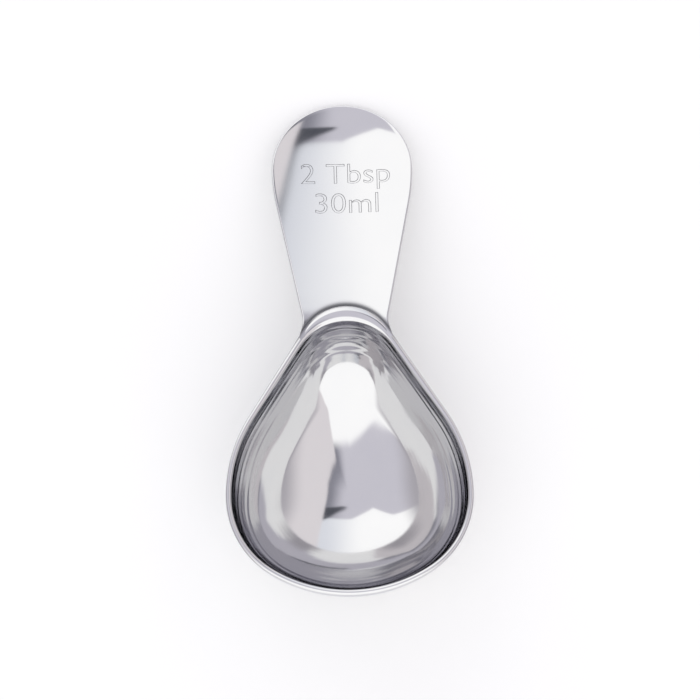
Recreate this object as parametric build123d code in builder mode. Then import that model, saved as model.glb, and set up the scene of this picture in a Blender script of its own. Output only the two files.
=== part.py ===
from build123d import *
from math import acos, asin, atan, atan2, cos, degrees, hypot, radians, sin, sqrt, tan
import os

# A one-piece measuring spoon pressed from one stainless sheet: a deep teardrop
# bowl whose narrow end runs over a raised ridge into a short, broad, dished handle.
# Millimetres. It lies as it rests on a table, on the bowl and the handle's end.
os.makedirs("parts", exist_ok=True)

# Sheet
sheet = 1.2                    # thickness of the stock
edge_round = 0.35              # tumbled edge all round the handle

# Bowl, measured inside at the rim, from the deepest point forward and back
bowl_depth = 21.25             # rim plane to the deepest point of the inside
front_reach = 25.5             # deepest point to the front of the rim
neck_reach = 31.9              # deepest point to the narrow end of the rim
bowl_half_width = 24.45        # widest half of the rim
widest_ahead = 5.5             # the widest place lies this far ahead of the deepest
front_radius = 30.0            # flat arc across the front
shoulder_radius = 31.0         # long arc from the widest place towards the neck
neck_radius = 11.0             # small arc at the narrow end
fullness = 2.1                 # power of the wall's curve, where 2 is an ellipse

# Ridge where the sheet turns over from the bowl into the handle
ridge_width = 3.7              # from the inside edge to the handle's face
ridge_radius = 9.8             # arc of the valley line, seen from above
ridge_step = 1.0               # the rim stands this much above the handle's root
ridge_fade = 6                 # power with which the ridge dies out down the wall

# Handle
handle_reach = 44.6            # ridge to the tip, along the rim plane
tip_radius = 14.6              # round end, also the greatest half width
cheek_radius = 40.0            # gentle arc from the widest place into the taper
handle_narrowing = 5.83141     # each side draws in this much, tip's centre to the ridge
root_radius = 6.0              # inner corner between the handle's side and the bowl
root_tuck = 0.2                # the handle's sides run this far into the bowl's wall
handle_drop = 10.0             # degrees that the handle falls away from the rim
curl_radius = 28.0             # upward curl of the tip
curl_length = 8.0              # length of the handle that curls
dish_at_root = 110.0           # radius of the dish across the handle at the neck
dish_at_tip = 44.0             # and at the round end
strip_half = 20.0              # half width of the strip before it is cut out

# Levels of the bowl in degrees of its wall's curve, and shares of the handle's reach
bowl_angles = (0, 8, 16, 28, 42, 56, 68, 79)
handle_shares = (-0.2, 0.0, 0.25, 0.5, 0.7, 0.85, 1.0, 1.1)
profile_steps = 90


# Outline of the bowl at a level: front arc, side arcs, straight flanks, neck arc.
# It shrinks about the deepest point by a share, so every level has one character.
def teardrop(share, wall, reach, end_radius):
    half = (bowl_half_width + wall) * share
    front = (front_reach + wall) * share
    front_arc = (front_radius + wall) * share
    shoulder = (shoulder_radius + wall) * share
    end_arc = end_radius * share
    widest = Vector(0, -widest_ahead * share)
    front_centre = Vector(0, front_arc - front)
    end_centre = Vector(0, reach * share - end_arc)
    # The side arc touches the front arc and is upright at the widest place
    lift = front_centre.Y - widest.Y
    side = (front_arc**2 - half**2 - lift**2) / (2 * (front_arc - half))
    side_centre = widest + Vector(half - side, 0)
    join = degrees(atan2(-lift, half - side))
    # The flank touches the shoulder arc and the neck arc
    inset = shoulder - half
    run = end_centre.Y - widest.Y
    lean = degrees(atan2(run, inset) - acos((shoulder - end_arc) / hypot(run, inset)))
    shoulder_centre = widest - Vector(inset, 0)
    flank_foot = shoulder_centre + Vector(shoulder, 0).rotate(Axis.Z, lean)
    flank_head = end_centre + Vector(end_arc, 0).rotate(Axis.Z, lean)
    with BuildLine() as outline:
        CenterArc(front_centre, front_arc, -90, 90 + join)
        CenterArc(side_centre, side, join, -join)
        CenterArc(shoulder_centre, shoulder, 0, lean)
        Line(flank_foot, flank_head)
        CenterArc(end_centre, end_arc, lean, 90 - lean)
        mirror(about=Plane.YZ)
    return outline.line


# Height of the handle's top face along its centre line, counted from the ridge
def handle_height(along):
    past = max(along - handle_reach + curl_length, 0)
    curl = curl_radius - sqrt(curl_radius**2 - past**2)
    return curl - ridge_step - max(along, 0) * tan(radians(handle_drop))


# Outside profile along the centre line, from one end of the rim to the deepest point
def keel(reach):
    profile = []
    for i in range(profile_steps + 1):
        angle = radians(90) * i / profile_steps
        along = (reach + sheet) * cos(angle) ** (2 / fullness)
        below = (bowl_depth + sheet) * sin(angle) ** (2 / fullness)
        profile.append((along, -below))
    return profile


# Underside of the handle along its centre line
def handle_keel():
    profile = []
    for i in range(profile_steps + 1):
        along = handle_reach * i / profile_steps
        profile.append((handle_root + along, handle_height(along) - sheet))
    return profile


# Lowest point of a profile above a line of some slope
def lowest(profile, slope):
    return min(profile, key=lambda point: point[1] - slope * point[0])


# Resting attitude: the line that touches both the bowl and the handle
handle_root = neck_reach + ridge_width
handle_taper = degrees(atan(handle_narrowing / (handle_reach - tip_radius)))
slope = 0
for _ in range(profile_steps):
    bowl_touch = lowest(keel(neck_reach), slope)
    handle_touch = lowest(handle_keel(), slope)
    slope = (handle_touch[1] - bowl_touch[1]) / (handle_touch[0] - bowl_touch[0])
tilt = atan(slope)

# Rim plane: tilted back, and placed so that the origin is on the table, midway along
front_end = -max(along * cos(tilt) - below * sin(tilt) for along, below in keel(front_reach))
handle_end = handle_root + handle_reach
tip_end = handle_end * cos(tilt) + (handle_height(handle_reach) - edge_round) * sin(tilt)
rim_height = bowl_touch[0] * sin(tilt) - bowl_touch[1] * cos(tilt)
rim = Plane(
    origin=(0, -(front_end + tip_end) / 2, rim_height),
    x_dir=(1, 0, 0),
    z_dir=(0, sin(tilt), cos(tilt)),
)


# Skin of the bowl: a sketch for each level from the rim down, then the deepest point.
# The ridge widens and tightens the neck arc at the top of the wall.
def bowl_levels(wall, depth, ridge, pinch):
    levels = []
    for angle in bowl_angles:
        share = cos(radians(angle)) ** (2 / fullness)
        depth_share = sin(radians(angle)) ** (2 / fullness)
        fade_share = (1 - depth_share) ** ridge_fade
        reach = neck_reach + wall + ridge * fade_share
        end_radius = neck_radius + wall - pinch * fade_share
        with BuildSketch(rim.offset(-depth * depth_share)) as level:
            make_face(teardrop(share, wall, reach, end_radius))
        levels.append(level.sketch)
    levels.append(Vertex(*rim.from_local_coords((0, 0, -depth))))
    return levels


# Handle: a dished strip, curled at its end, cut to the handle's outline
with BuildPart() as handle:
    for share in handle_shares:
        along = handle_reach * share
        dish = dish_at_root + (dish_at_tip - dish_at_root) * max(share, 0)
        half_angle = degrees(asin(strip_half / dish))
        station = Plane(
            origin=rim.from_local_coords((0, handle_root + along, handle_height(along))),
            x_dir=rim.x_dir,
            z_dir=-rim.y_dir,
        )
        with BuildSketch(station):
            with BuildLine():
                face = CenterArc((0, dish), dish, -90 - half_angle, 2 * half_angle)
                back = CenterArc((0, dish), dish + sheet, -90 - half_angle, 2 * half_angle)
                Line(face @ 0, back @ 0)
                Line(face @ 1, back @ 1)
            make_face()
    loft()
    with BuildSketch(rim) as handle_outline:
        with BuildLine():
            rim_edge = teardrop(1, sheet - root_tuck, handle_root - root_tuck, ridge_radius)
            flank = rim_edge.edges().filter_by(GeomType.LINE).sort_by(Axis.X)[-1]
            tip_centre = Vector(0, handle_end - tip_radius)
            cheek_centre = tip_centre - Vector(cheek_radius - tip_radius, 0)
            CenterArc(tip_centre, tip_radius, 0, 90)
            cheek = CenterArc(cheek_centre, cheek_radius, -handle_taper, handle_taper)
            side = IntersectingLine(cheek @ 0, -(cheek % 0), flank)
            root = Line(side @ 1, side @ 1 - (flank % 0) * root_radius / 2)
            Line(root @ 1, (0, (root @ 1).Y))
            mirror(about=Plane.YZ)
        make_face()
        corner = side @ 1
        corners = [
            handle_outline.vertices().sort_by_distance(place)[0]
            for place in (corner, (-corner.X, corner.Y))
        ]
        fillet(corners, root_radius)
    extrude(amount=strip_half, both=True, mode=Mode.INTERSECT)
    fillet(handle.faces().sort_by(SortBy.AREA)[-2:].edges(), edge_round)

with BuildPart() as spoon:
    # Outside of the bowl, with the ridge swelling out at the top of the neck
    pinch = neck_radius + sheet - ridge_radius
    loft(bowl_levels(sheet, bowl_depth + sheet, ridge_width - sheet, pinch))
    add(handle)

    # Inside of the bowl, open at the rim and clear above it
    loft(bowl_levels(0, bowl_depth, 0, 0), mode=Mode.SUBTRACT)
    with BuildSketch(rim):
        make_face(teardrop(1, 0, neck_reach, neck_radius))
    extrude(amount=ridge_width, mode=Mode.SUBTRACT)

spoon.part.label = "spoon"
export_step(spoon.part, "parts/spoon.step")

# What the bowl holds, level with the rim
with BuildPart() as measure:
    loft(bowl_levels(0, bowl_depth, 0, 0))
print(f"holds {measure.part.volume / 1000:.2f} ml")
print(f"rests tilted back {degrees(tilt):.2f} degrees")
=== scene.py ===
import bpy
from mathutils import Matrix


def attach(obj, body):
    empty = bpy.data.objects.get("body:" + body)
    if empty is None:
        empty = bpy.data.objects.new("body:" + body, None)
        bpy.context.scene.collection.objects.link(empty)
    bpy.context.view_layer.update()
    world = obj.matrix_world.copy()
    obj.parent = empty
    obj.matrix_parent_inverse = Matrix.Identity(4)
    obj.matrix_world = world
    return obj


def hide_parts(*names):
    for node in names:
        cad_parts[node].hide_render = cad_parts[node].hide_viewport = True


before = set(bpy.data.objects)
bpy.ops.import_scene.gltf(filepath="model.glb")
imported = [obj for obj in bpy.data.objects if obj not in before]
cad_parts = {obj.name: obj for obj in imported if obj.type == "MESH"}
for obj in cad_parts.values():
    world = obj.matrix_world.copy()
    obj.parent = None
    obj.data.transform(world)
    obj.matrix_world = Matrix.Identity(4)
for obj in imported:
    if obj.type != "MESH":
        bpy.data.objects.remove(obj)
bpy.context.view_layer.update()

import bmesh
import bpy
import numpy as np
from math import acos, atan2, cos, degrees, hypot, pi, radians, sin, tan
from mathutils import Matrix, Vector

bpy.context.scene.view_settings.view_transform = "Standard"

# The bowl
# A deep teardrop cup, pressed from one stainless sheet 1.2 mm thick. Its rim is
# tumbled round, and at the neck the sheet turns over in a broad ridge.

# Millimetres from the deepest point, in the plane of the rim, as in the solid
sheet = 1.2
bowl_depth = 21.25
front_reach = 25.5
neck_reach = 31.9
bowl_half_width = 24.45
widest_ahead = 5.5
front_radius = 30.0
shoulder_radius = 31.0
neck_radius = 11.0
fullness = 2.1
ridge_width = 3.7
ridge_radius = 9.8
ridge_step = 1.0
ridge_fade = 6
# Finer than the solid: fuller flanks, around a heading in degrees, that fade to the bottom
flank_fullness = 0.5
flank_middle = 55
flank_spread = 25
flank_fade = 0.6
# The share by which the wall closes on its way down, and the rings that drawing leaves in it
draft = 0.05
draw_ring = 0.022
coarse_ring = 2.9
fine_ring = 4.7
fine_share = 0.7
ring_phase = 0.5
ring_top = 0.8
ring_top_fade = 2
ring_foot = 14.5
ring_foot_fade = 5
# The rounding of the rim and of the ridge
ridge_hold = 1.7
ridge_round = 0.45
rim_round = 0.5
rim_fullness = 2.0
neck_round = 0.2
# Where the rim's plane is when the spoon rests on its bowl and the end of its handle
rim_tilt = radians(10.23085)
rim_centre = (0.0, -25.4234, 23.0002)
# Points round each ring, and rings down each part of the wall
around = 312
inside_rings = 84
crown_rings = 22
outside_rings = 48
outline_points = 6000
fine_headings = 2880
reach_soften = 0.035


def place(points):
    """From the rim's plane in millimetres to the table's frame in metres."""
    x, y, z = points[..., 0], points[..., 1], points[..., 2]
    row = np.stack([
        x + rim_centre[0],
        y * cos(rim_tilt) + z * sin(rim_tilt) + rim_centre[1],
        z * cos(rim_tilt) - y * sin(rim_tilt) + rim_centre[2],
    ], axis=-1)
    return row / 1000


def arc(centre, radius, start, end, steps=400):
    """Points on an arc, with its angles in degrees."""
    angle = np.radians(np.linspace(start, end, steps))
    return np.stack(
        [centre[0] + radius * np.cos(angle), centre[1] + radius * np.sin(angle)], axis=-1)


def even(outline, count):
    """The same closed outline with evenly spaced points."""
    closed = np.concatenate([outline, outline[:1]])
    length = np.concatenate([[0], np.cumsum(np.hypot(*np.diff(closed, axis=0).T))])
    stations = np.linspace(0, length[-1], count, endpoint=False)
    return np.stack([np.interp(stations, length, closed[:, k]) for k in (0, 1)], axis=-1)


def reach_around(outline):
    """Distance of an outline from the deepest point at each heading, gently smoothed."""
    outline = even(outline, outline_points)
    angle = np.arctan2(outline[:, 1], outline[:, 0])
    fine = np.linspace(-pi, pi, fine_headings, endpoint=False)
    reach = np.interp(fine, angle, np.hypot(outline[:, 0], outline[:, 1]), period=2 * pi)
    waves = np.fft.rfft(reach)
    waves *= np.exp(-0.5 * (np.arange(len(waves)) * reach_soften) ** 2)
    return np.interp(headings, fine, np.fft.irfft(waves, len(fine)), period=2 * pi)


def mirrored(right):
    """A closed outline from its right half, front to back."""
    return np.concatenate([right, (right * (-1, 1))[::-1]])


def teardrop(wall, reach, end_radius):
    """The rim's outline, moved out by wall, and the degrees at which its flank leans."""
    half = bowl_half_width + wall
    front = front_reach + wall
    front_arc = front_radius + wall
    shoulder = shoulder_radius + wall
    lift = front_arc - front + widest_ahead
    side = (front_arc ** 2 - half ** 2 - lift ** 2) / (2 * (front_arc - half))
    join = degrees(atan2(-lift, half - side))
    inset = shoulder - half
    run = reach - end_radius + widest_ahead
    lean = degrees(atan2(run, inset) - acos((shoulder - end_radius) / hypot(run, inset)))
    return mirrored(np.concatenate([
        arc((0, front_arc - front), front_arc, -90, join),
        arc((half - side, -widest_ahead), side, join, 0),
        arc((-inset, -widest_ahead), shoulder, 0, lean),
        arc((0, reach - end_radius), end_radius, lean, 90),
    ])), lean


def skin(rings, start, end):
    """Closed skin through rings of points, from one pole to the other."""
    count = rings.shape[1]
    points = [start, *rings.reshape(-1, 3), end]
    faces = []

    def first(ring):
        return 1 + ring * count

    for i in range(count):
        j = (i + 1) % count
        faces.append((0, first(0) + i, first(0) + j))
        for ring in range(len(rings) - 1):
            near, far = first(ring), first(ring + 1)
            faces.append((near + i, far + i, far + j, near + j))
        last = first(len(rings) - 1)
        faces.append((last + i, len(points) - 1, last + j))
    return np.array(points), faces


def add(name, data):
    """A new object with this data, in the scene."""
    made = bpy.data.objects.new(name, data)
    bpy.context.scene.collection.objects.link(made)
    return made


def solid(name, points, faces):
    mesh = bpy.data.meshes.new(name)
    mesh.from_pydata([tuple(p) for p in place(np.asarray(points))], [], faces)
    mesh.validate()
    mesh.shade_smooth()
    return add(name, mesh)


headings = np.linspace(-pi, pi, around, endpoint=False)
ray = np.stack([np.cos(headings), np.sin(headings)], axis=-1)
ridge_outline, flank_lean = teardrop(sheet, neck_reach + ridge_width, ridge_radius)
inner_reach = reach_around(teardrop(0, neck_reach, neck_radius)[0])
outer_reach = reach_around(teardrop(sheet, neck_reach + sheet, neck_radius + sheet)[0])
ridge_reach = reach_around(ridge_outline)
# 1 where the sheet turns over in the ridge, 0 along the rest of the rim
neckness = np.clip((ridge_reach - outer_reach) / (ridge_width - sheet), 0, 1)
flank_heading = np.degrees(np.arctan2(ray[:, 1], np.abs(ray[:, 0])))
flank = np.exp(-0.5 * ((flank_heading - flank_middle) / flank_spread) ** 2)


def level(reach, height):
    """A ring of points: a reach for each heading, and one height or one for each."""
    height = np.broadcast_to(height, (around,))
    return np.concatenate([ray * reach[:, None], height[:, None]], axis=1)


def wall(turn):
    """Share of the reach and of the depth where the wall has turned so far from upright."""
    steep = np.clip(np.cos(turn) / flank_fade, 0, 1) ** 2
    power = fullness + flank_fullness * flank * steep
    below = np.sin(turn) ** (2 / power)
    return np.cos(turn) ** (2 / power) * (1 - draft * below), below


def inside(turn):
    """The inner wall, with the faint rings that drawing the cup leaves in its steep part."""
    share, below = wall(turn)
    drop = bowl_depth * below
    steep = (np.clip((drop - ring_top) / ring_top_fade, 0, 1)
             * np.clip((ring_foot - drop) / ring_foot_fade, 0, 1))
    fine = np.sin(drop * fine_ring + np.sin(2 * headings))
    ring = np.sin(drop * coarse_ring + ring_phase) + fine_share * fine
    return inner_reach * share + draw_ring * ring * steep, drop


def outside(turn):
    """The outer wall, which is drawn out to the ridge at the neck."""
    share, below = wall(turn)
    drop = (bowl_depth + sheet) * below
    fade = np.clip(1 - (drop - ridge_hold) / (bowl_depth + sheet), 0, 1)
    return (outer_reach + (ridge_reach - outer_reach) * fade ** ridge_fade) * share, drop


def lip(drop, depth):
    """The turn at which a wall of this depth is this far below the rim."""
    return np.arcsin((drop / depth) ** ((fullness + flank_fullness * flank) / 2))


inner_drop = rim_round * (1 + neck_round * neckness)
outer_drop = rim_round + (ridge_step + ridge_round - rim_round) * neckness
inner_lip = lip(inner_drop, bowl_depth)
outer_lip = lip(outer_drop, bowl_depth + sheet)
bowl_rings = []
for step in range(1, inside_rings + 1):
    reach, drop = inside(pi / 2 - (pi / 2 - inner_lip) * step / inside_rings)
    bowl_rings.append(level(reach, -drop))
near, near_drop = inside(inner_lip)
far, far_drop = outside(outer_lip)
for step in range(1, crown_rings + 1):
    turn = pi * step / crown_rings
    across = 0.5 - 0.5 * np.sign(cos(turn)) * abs(cos(turn)) ** (2 / rim_fullness)
    rise = sin(turn) ** (2 / rim_fullness) if step < crown_rings else 0
    drop = near_drop if turn < pi / 2 else far_drop
    bowl_rings.append(level(near + (far - near) * across, -drop * (1 - rise)))
for step in range(1, outside_rings):
    reach, drop = outside(outer_lip + (pi / 2 - outer_lip) * step / outside_rings)
    bowl_rings.append(level(reach, -drop))
bowl = solid("bowl", *skin(
    np.array(bowl_rings), (0, 0, -bowl_depth), (0, 0, -bowl_depth - sheet)))

# The handle
# The same sheet runs on from the ridge as a short broad tongue with a round
# end. It is dished across, falls away from the rim and curls up at the tip.

# Millimetres in the plane of the rim, as in the solid
handle_reach = 44.6
tip_radius = 14.6
cheek_radius = 40.0
handle_taper = radians(11)
root_radius = 6.0
handle_drop = radians(10)
curl_radius = 28.0
curl_length = 8.0
dish_at_root = 110.0
dish_at_tip = 44.0
# Softer than the solid: the start of the curl, the fall from the ridge, and the corners
curl_soften = 2.5
curl_ease = 0.977
root_lift = 4.2
fall_ease = 2
corner_soften = 0.03
# The rounded edge, which tapers off to a sliver where it runs into the bowl's wall
edge_round = 0.42
edge_fullness = 2.4
edge_start = 28
edge_growth = 5
edge_least = 0.05
# How far the root lies under the rim, and how far past the ridge the spokes of the mesh meet
root_sunk = 0.6
heart_reach = 12.0
seam_points = 200
handle_around = 344
face_rings = 58
edge_rings = 12
handle_root = neck_reach + ridge_width
handle_end = handle_root + handle_reach


def handle_face(x, y):
    """Height of the handle's top face above the rim's plane."""
    along = y - handle_root
    past = along - handle_reach + curl_length
    past = curl_ease * (past + np.sqrt(past ** 2 + curl_soften ** 2)) / 2
    curl = curl_radius - np.sqrt(curl_radius ** 2 - past ** 2)
    radius = dish_at_root + (dish_at_tip - dish_at_root) * np.clip(along / handle_reach, 0, 1)
    dish = radius - np.sqrt(radius ** 2 - x ** 2)
    fall = (along - root_lift + np.sqrt((along + root_lift) ** 2 + fall_ease ** 2)) / 2
    return curl + dish - ridge_step - fall * tan(handle_drop)


# The outline: round end, cheek, straight side, an inner corner into the bowl's flank, and
# a seam under the rim
tip_centre = handle_end - tip_radius
tip = arc((0, tip_centre), tip_radius, 90, 0)
cheek = arc((tip_radius - cheek_radius, tip_centre), cheek_radius, 0, -degrees(handle_taper))
side_way = np.array([-sin(handle_taper), -cos(handle_taper)])
lean = radians(flank_lean)
flank_way = np.array([sin(lean), -cos(lean)])
flank_head = np.array(
    [ridge_radius * cos(lean), handle_root - ridge_radius + ridge_radius * sin(lean)])
both_ways = np.stack([side_way, -flank_way], axis=1)
corner = cheek[-1] + side_way * np.linalg.solve(both_ways, flank_head - cheek[-1])[0]
half_corner = acos(float(np.dot(-side_way, flank_way))) / 2
into_corner = (flank_way - side_way) / np.hypot(*(flank_way - side_way))
blend_centre = corner + into_corner * root_radius / sin(half_corner)
blend_turn = degrees(pi / 2 - half_corner)
blend_middle = degrees(atan2(*(corner - blend_centre)[::-1]))
blend = arc(blend_centre, root_radius, blend_middle - blend_turn, blend_middle + blend_turn)
flank_end = np.arctan2(blend[-1][1], blend[-1][0])
seam_headings = np.linspace(flank_end, pi / 2, seam_points)[1:]
seam_reach = np.interp(seam_headings, headings, inner_reach, period=2 * pi) + root_sunk
seam = np.stack(
    [np.cos(seam_headings) * seam_reach, np.sin(seam_headings) * seam_reach], axis=-1)
outline = even(mirrored(np.concatenate([tip, cheek[1:], blend, seam]))[::-1], handle_around)
softness = np.exp(-0.5 * (np.arange(handle_around // 2 + 1) * corner_soften) ** 2)
outline = np.fft.irfft(
    np.fft.rfft(outline, axis=0) * softness[:, None], handle_around, axis=0)
ahead = np.roll(outline, -1, axis=0) - np.roll(outline, 1, axis=0)
outward = np.stack([ahead[:, 1], -ahead[:, 0]], axis=-1) / np.hypot(*ahead.T)[:, None]
heart = np.array([0, handle_root + heart_reach])


def handle_ring(points, side):
    """A ring at side 1, the face, down to side -1, the back."""
    middle = handle_face(points[:, 0], points[:, 1]) - sheet / 2
    return np.concatenate([points, (middle + side * sheet / 2)[:, None]], axis=1)


edge_share = np.clip((outline[:, 1:] - edge_start) / edge_growth, edge_least, 1)
flat_edge = outline - outward * edge_round * edge_share
spokes = np.linspace(0, 1, face_rings + 1)[1:]
handle_rings = [handle_ring(heart + (flat_edge - heart) * spoke, 1) for spoke in spokes]
for step in range(1, edge_rings):
    turn = pi * step / edge_rings
    inset = edge_round * (1 - sin(turn) ** (2 / edge_fullness))
    side = np.sign(cos(turn)) * abs(cos(turn)) ** (2 / edge_fullness)
    handle_rings.append(handle_ring(outline - outward * inset * edge_share, side))
handle_rings += [handle_ring(heart + (flat_edge - heart) * spoke, -1) for spoke in spokes[::-1]]
heart_height = float(handle_face(*heart))
handle = solid("handle", *skin(
    np.array(handle_rings), (*heart, heart_height), (*heart, heart_height - sheet)))

# The capacity marks
# The measure, in plain letters, is stamped a tenth of a millimetre deep into
# the handle's face with a punch whose letters have sloping sides.

# Words, their width, and the middle of their capitals in the plane of the rim
stamps = (("2 Tbsp", 18.5, 0.7, 65.0), ("30ml", 13.1, 0.85, 58.35))
cap_height = 4.5
stamp_depth = 0.13
punch_brink = 0.02
punch_back = 0.5
weld = 0.004
# In the font's own measure: the letters' half thickness, their bevel, and a merging distance
letter_half = 0.05
stamp_slope = 0.018
letter_weld = 1e-5


def evaluated(made):
    """The mesh that an object's curve or modifiers give."""
    bpy.context.view_layer.update()
    return bpy.data.meshes.new_from_object(
        made.evaluated_get(bpy.context.evaluated_depsgraph_get()))


def merge(mesh, distance, slivers=False):
    """Merges points that are nearer than this, and where asked removes slivers too."""
    clean = bmesh.new()
    clean.from_mesh(mesh)
    bmesh.ops.remove_doubles(clean, verts=clean.verts, dist=distance)
    if slivers:
        bmesh.ops.dissolve_degenerate(clean, edges=clean.edges, dist=distance)
    clean.to_mesh(mesh)
    clean.free()


def letters(words):
    """A closed mesh of the words, bevelled on both faces."""
    curve = bpy.data.curves.new("stamp", "FONT")
    curve.body = words
    curve.resolution_u = 5
    curve.extrude = letter_half
    curve.bevel_depth, curve.bevel_resolution, curve.offset = stamp_slope, 0, -stamp_slope
    text = add("stamp", curve)
    mesh = evaluated(text)
    bpy.data.objects.remove(text)
    merge(mesh, letter_weld)
    return mesh


def corners(points):
    return points[:, :2].min(0), points[:, :2].max(0)


def read(items, name):
    """A vector of each of a mesh's vertices or faces."""
    values = np.empty(len(items) * 3)
    items.foreach_get(name, values)
    return values.reshape(-1, 3)


digit_low, digit_high = corners(read(letters("2").vertices, "co"))
# The cut is made in millimetres, because the boolean drops walls this small in metres
handle.data.transform(Matrix.Scale(1000, 4))
for words, width, centre_x, centre_y in stamps:
    mesh = letters(words)
    points = read(mesh.vertices, "co")
    low, high = corners(points)
    stretch = np.array(
        [width / (high[0] - low[0]), cap_height / (digit_high[1] - digit_low[1])])
    middle = np.array([(low[0] + high[0]) / 2, (digit_low[1] + digit_high[1]) / 2])
    flat = (points[:, :2] - middle) * stretch + (centre_x, centre_y)
    slopes = np.where(points[:, 2] > -letter_half - stamp_slope / 2, punch_brink, -stamp_depth)
    rise = np.where(points[:, 2] > 0, punch_back, slopes)
    height = handle_face(flat[:, 0], flat[:, 1]) + rise
    shaped = np.concatenate([flat, height[:, None]], axis=1)
    mesh.vertices.foreach_set("co", place(shaped).ravel() * 1000)
    punch = add("punch", mesh)
    cut = handle.modifiers.new("stamp", "BOOLEAN")
    cut.object, cut.operation, cut.solver = punch, "DIFFERENCE", "EXACT"
    stamped = evaluated(handle)
    handle.modifiers.clear()
    handle.data = stamped
    bpy.data.objects.remove(punch)
merge(handle.data, weld, slivers=True)
handle.data.transform(Matrix.Scale(0.001, 4))

# The whole spoon
# Bowl and handle are one pressing. After pressing, the steel is polished to a
# mirror, which leaves hair lines along it. The valley of the ridge gets painted shade.
crease = radians(32)
joined = bmesh.new()
joined.from_mesh(bowl.data)
joined.from_mesh(handle.data)
whole = bpy.data.meshes.new("spoon")
joined.to_mesh(whole)
joined.free()
whole.set_sharp_from_angle(angle=crease)
spoon = add("spoon_body", whole)
bpy.data.objects.remove(bowl)
bpy.data.objects.remove(handle)


def unplace(points):
    """From the table's frame in metres back to the rim's plane in millimetres."""
    x, y, z = (points * 1000 - rim_centre).T
    return (x, y * cos(rim_tilt) - z * sin(rim_tilt), y * sin(rim_tilt) + z * cos(rim_tilt))


# Painted shade darkens the valley between ridge and handle, and fades off to both sides
valley_start, valley_growth = 26, 4
valley_floor, valley_rise = -2.2, 0.6
valley_on_handle, valley_on_ridge = 0.6, 0.42
x, y, z = unplace(read(whole.vertices, "co"))
gap = np.hypot(x, y) - np.interp(np.arctan2(y, x), headings, far, period=2 * pi)
near_neck = (np.clip((y - valley_start) / valley_growth, 0, 1)
             * np.clip((z - valley_floor) / valley_rise, 0, 1))
valley_shade = np.exp(-(gap / np.where(gap > 0, valley_on_handle, valley_on_ridge)) ** 2) * near_neck
whole.attributes.new("valley_shade", "FLOAT", "POINT").data.foreach_set("value", valley_shade)

# The punch leaves the sloping sides of its letters matt, and painted shade makes them darker
marks_half_width, marks_start, marks_end = 10.8, 53, 68
least_facing, most_facing = 0.2, 0.93
x, y, z = unplace(read(whole.polygons, "center"))
normal = read(whole.polygons, "normal")
face_tilt = rim_tilt + handle_drop
facing = normal[:, 1] * sin(face_tilt) + normal[:, 2] * cos(face_tilt)
punched_matt_and_shade = ((facing > least_facing) & (facing < most_facing)
           & (np.abs(x) < marks_half_width) & (y > marks_start) & (y < marks_end))
whole.attributes.new("punched_matt_and_shade", "FLOAT", "FACE").data.foreach_set("value", punched_matt_and_shade.astype(float))

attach(spoon, "root")
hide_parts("spoon")


class Wire:
    """An output of a material's or world's nodes. Arithmetic on it adds Math nodes."""

    def __init__(self, tree, socket=None):
        self.tree, self.socket = tree, socket

    def node(self, kind, settings=None, inputs=None, output=0):
        made = self.tree.nodes.new(kind)
        for name, value in (settings or {}).items():
            setattr(made, name, value)
        for name, value in (inputs or {}).items():
            if isinstance(value, Wire):
                self.tree.links.new(value.socket, made.inputs[name])
            else:
                made.inputs[name].default_value = value
        return Wire(self.tree, made.outputs[output]) if len(made.outputs) else made

    def maths(self, operation, *values):
        return self.node("ShaderNodeMath", {"operation": operation}, dict(enumerate(values)))

    def __add__(self, other):
        return self.maths("ADD", self, other)

    def __sub__(self, other):
        return self.maths("SUBTRACT", self, other)

    def __rsub__(self, other):
        return self.maths("SUBTRACT", other, self)

    def __mul__(self, other):
        return self.maths("MULTIPLY", self, other)

    def __abs__(self):
        return self.maths("ABSOLUTE", self)

    __radd__ = __add__
    __rmul__ = __mul__

    def step(self, start, end):
        """0 before start, 1 after end, with a soft rise between."""
        return self.node("ShaderNodeMapRange", {"interpolation_type": "SMOOTHSTEP"},
                         {"Value": self, "From Min": start, "From Max": end})

    def blend(self, amount, first, second):
        return self.node("ShaderNodeMix", {"data_type": "RGBA"},
                         {0: amount, 6: first, 7: second}, 2)


def empty_tree(owner):
    """The cleared nodes of a material or world."""
    owner.use_nodes = True
    owner.node_tree.nodes.clear()
    return Wire(owner.node_tree)


cool_steel = (0.70, 0.70, 0.71, 1)
warm_steel = (0.74, 0.735, 0.735, 1)
# Painted shade for the sloping sides of the stamped letters
letter_wall_shade = (0.41, 0.41, 0.42, 1)
# Painted shade, near black, for the valley of the ridge
valley_shade_black = (0.07, 0.07, 0.08, 1)
grazing_tint = (0.86, 0.86, 0.89, 1)
cloud_scale = 160
hair_scale = 9000
hair_stretch = (1.0, 0.06, 1.0)
hair_bump = {"Strength": 0.012, "Distance": 0.0001}
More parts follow.
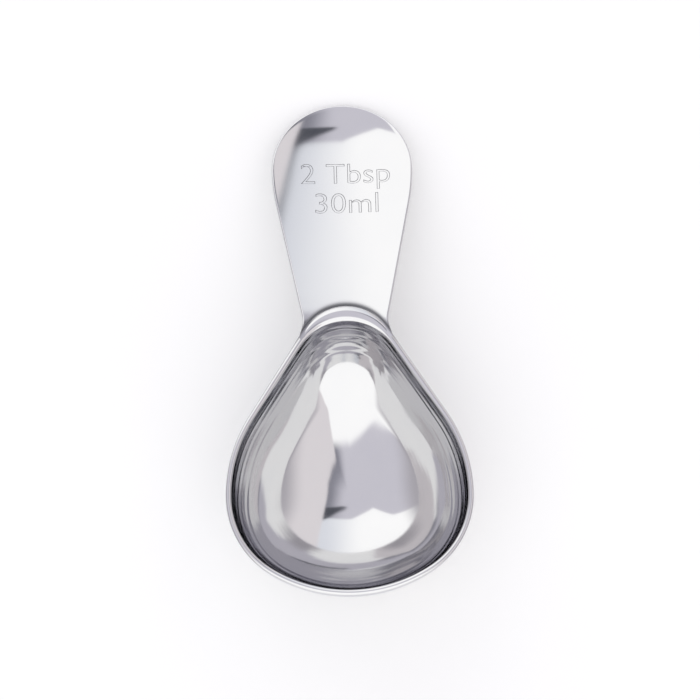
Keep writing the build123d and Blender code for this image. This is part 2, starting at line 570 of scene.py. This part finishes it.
# Roughness of the bare mirror, and what clouds, hair lines, marks and the painted valley shade
# add to it
smooth, cloudy, hairy, struck, valley_shade_rough = 0.045, 0.05, 0.02, 0.3, 0.25
steel = bpy.data.materials.new("polished_steel")
nodes = empty_tree(steel)
spot = nodes.node("ShaderNodeTexCoord", output="Object")
cloud = nodes.node("ShaderNodeTexNoise", inputs={
    "Vector": spot, "Scale": cloud_scale, "Detail": 4})
along = nodes.node("ShaderNodeMapping", inputs={
    "Vector": spot, "Scale": hair_stretch})
hair = nodes.node("ShaderNodeTexNoise", inputs={
    "Vector": along, "Scale": hair_scale, "Detail": 3})
valley_shade = nodes.node("ShaderNodeAttribute", {"attribute_name": "valley_shade"}, output="Fac")
punched_matt_and_shade = nodes.node("ShaderNodeAttribute", {"attribute_name": "punched_matt_and_shade"}, output="Fac")
metal = nodes.blend(cloud, cool_steel, warm_steel)
# Painted shade: the letters' sloping sides take the darker colour, as well as their real matt
# roughness
metal = nodes.blend(punched_matt_and_shade, metal, letter_wall_shade)
# The valley mask darkens the base colour towards near black as painted shade, and roughens it
shade = nodes.node("ShaderNodeBsdfPrincipled", inputs={
    "Base Color": nodes.blend(valley_shade * 0.9, metal, valley_shade_black),
    "Metallic": 1.0,
    "Specular Tint": grazing_tint,
    "Roughness": smooth + cloudy * cloud + hairy * hair + struck * punched_matt_and_shade + valley_shade_rough * valley_shade,
    "Normal": nodes.node("ShaderNodeBump", inputs={"Height": hair, **hair_bump}),
})
nodes.node("ShaderNodeOutputMaterial", inputs={"Surface": shade})
whole.materials.clear()
whole.materials.append(steel)

# The floor
# A plain white table top, wide enough to fill the picture from every side. What
# looks at it, straight or by way of the steel, sees it a little whiter.
floor_half = 4
floor_white = (0.82, 0.82, 0.82, 1)
floor_glow = 0.22
floor_mesh = bpy.data.meshes.new("floor")
floor_mesh.from_pydata(
    [(floor_half * x, floor_half * y, 0) for x, y in ((-1, -1), (1, -1), (1, 1), (-1, 1))],
    [], [(0, 1, 2, 3)])
floor = add("floor", floor_mesh)
paper = bpy.data.materials.new("white_table")
nodes = empty_tree(paper)
matt = nodes.node("ShaderNodeBsdfDiffuse", inputs={"Color": floor_white})
seen = nodes.node("ShaderNodeLightPath", output="Is Camera Ray")
for ray_kind in ("Is Glossy Ray", "Is Transmission Ray"):
    seen = seen.maths("MAXIMUM", seen, nodes.node("ShaderNodeLightPath", output=ray_kind))
glow = nodes.node("ShaderNodeEmission", inputs={"Strength": floor_glow * seen})
both = nodes.node("ShaderNodeAddShader", inputs={0: matt, 1: glow})
nodes.node("ShaderNodeOutputMaterial", inputs={"Surface": both})
floor_mesh.materials.append(paper)

# The studio
# A white tent, open towards the camera: a white front, a lavender roof that is
# dusky to the right, a bright back, two greyish sides and grey corners, all soft.
light_level = 0.875
front_white = (1.5, 1.5, 1.5, 1)
roof_lavender = (0.86, 0.84, 0.93, 1)
roof_dusk = (0.34, 0.34, 0.40, 1)
back_white = (1.06, 1.09, 1.17, 1)
gap_dark = (0.12, 0.125, 0.15, 1)
rose = (1.06, 1.01, 1.04, 1)
side_grey = (0.60, 0.575, 0.62, 1)
low_grey = (0.22, 0.22, 0.25, 1)
# The degrees between which each panel comes in, and how its edge slants or peaks
dusk_side = (2, 17)
roof_edge, roof_slant = (-1, 4.5), 0.16
back_edge, back_slant = (33, 35.2), 0.6
back_corner, back_highest = 16, 9.3
back_side = (-8, 17)
gap_top, gap_left, gap_right = (32, 33.5), (0.5, 3.5), (16.5, 19.5)
gap_foot, gap_slant = (31, 35), 0.7
rose_side, rose_edge, rose_slant = (17, 19), (12, 15), 1.4
grey_side = (38, 62)
low_height, low_side = (0.28, 0.12), (18, 38)
world = bpy.data.worlds.new("studio")
bpy.context.scene.world = world
nodes = empty_tree(world)
way = nodes.node("ShaderNodeTexCoord")
x, y, z = (nodes.node("ShaderNodeSeparateXYZ", inputs={0: way}, output=k) for k in range(3))
# How many degrees a direction leans from straight up, to the back and to the right
back = x.maths("ARCTAN2", y, z) * degrees(1)
side = x.maths("ARCSINE", x) * degrees(1)
roof = nodes.blend(side.step(*dusk_side), roof_lavender, roof_dusk)
tent = nodes.blend((back - roof_slant * side).step(*roof_edge), front_white, roof)
peak = back_slant * abs(side + back_corner)
peak = peak.maths("MINIMUM", peak, back_highest)
panel = nodes.blend(side.step(*back_side), front_white, back_white)
tent = nodes.blend((back - peak).step(*back_edge), tent, panel)
gap = back.step(*gap_top) * (1 - (back - gap_slant * side).step(*gap_foot))
gap = gap * (side.step(*gap_left) * (1 - side.step(*gap_right)))
tent = nodes.blend(gap, tent, gap_dark)
rosy = side.step(*rose_side) * (back + rose_slant * side).step(*rose_edge)
tent = nodes.blend(rosy, tent, rose)
tent = nodes.blend(abs(side).step(*grey_side), tent, side_grey)
tent = nodes.blend(z.step(*low_height) * abs(side).step(*low_side), tent, low_grey)
light = nodes.node("ShaderNodeBackground", inputs={"Color": tent, "Strength": light_level})
nodes.node("ShaderNodeOutputWorld", inputs={"Surface": light})

# The camera
# Above the spoon and far off, leaning a little towards the front of the bowl, as in
# the photograph.
height_over_rim = radians(75)
aim_on_rim = (0.77, 25.46, 0.0)
distance = 3.612
roll = radians(-1.4)
camera_data = bpy.data.cameras.new("camera")
camera_data.lens = 900
camera_data.clip_end = 50
camera = add("camera", camera_data)
bpy.context.scene.camera = camera
lean_forward = height_over_rim - pi / 2 + rim_tilt
sight = Vector((0, sin(lean_forward), cos(lean_forward)))
camera.location = Vector(place(np.array(aim_on_rim))) + sight * distance
turn = sight.to_track_quat("Z", "Y").to_matrix().to_4x4() @ Matrix.Rotation(roll, 4, "Z")
camera.rotation_euler = turn.to_euler()
